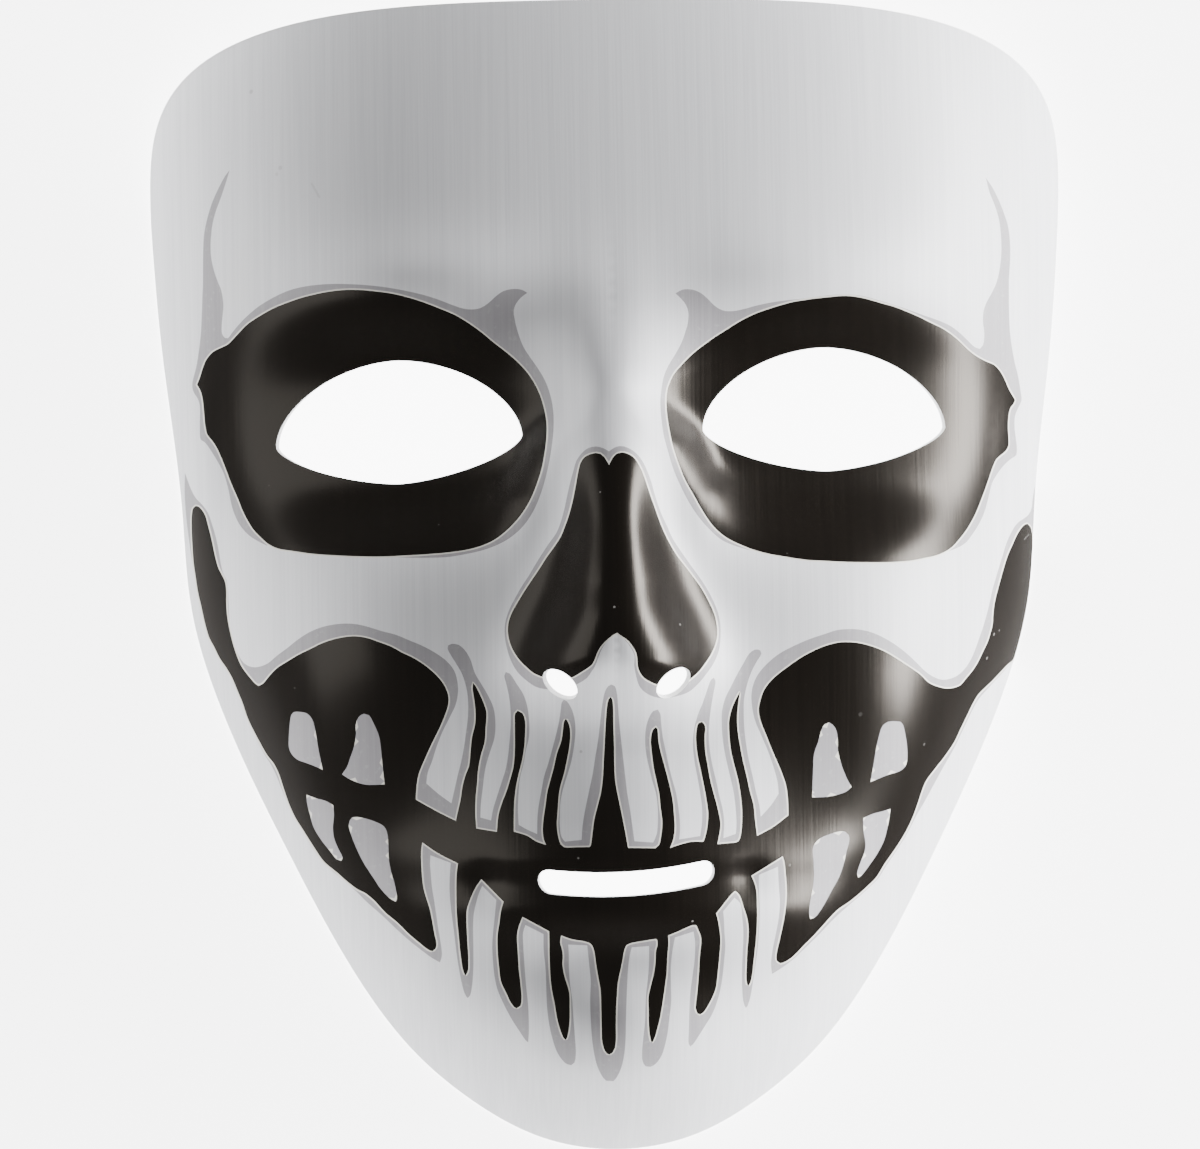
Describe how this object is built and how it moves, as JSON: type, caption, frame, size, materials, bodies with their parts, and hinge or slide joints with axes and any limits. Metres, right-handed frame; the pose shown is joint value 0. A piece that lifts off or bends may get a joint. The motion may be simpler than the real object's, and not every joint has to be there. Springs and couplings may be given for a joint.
{
  "type": "skull mask",
  "caption": "Full-face skull mask of thin formed plastic, with eye openings, nostrils and a mouth slot, printed in black and grey on its white outer face.",
  "frame": {"origin": "middle of the footprint, on the plane that the rim rests on", "axes": "+Z the way the face looks, +Y from the chin to the forehead, +X to the right as a viewer sees the face"},
  "size_m": [0.1818, 0.225, 0.0814],
  "materials": {
    "white_plastic": "satin white sheet plastic, printed on the outside with semi-gloss black and flat grey"
  },
  "bodies": {
    "root": {"mask_shell": "white_plastic"}
  },
  "joints": []
}
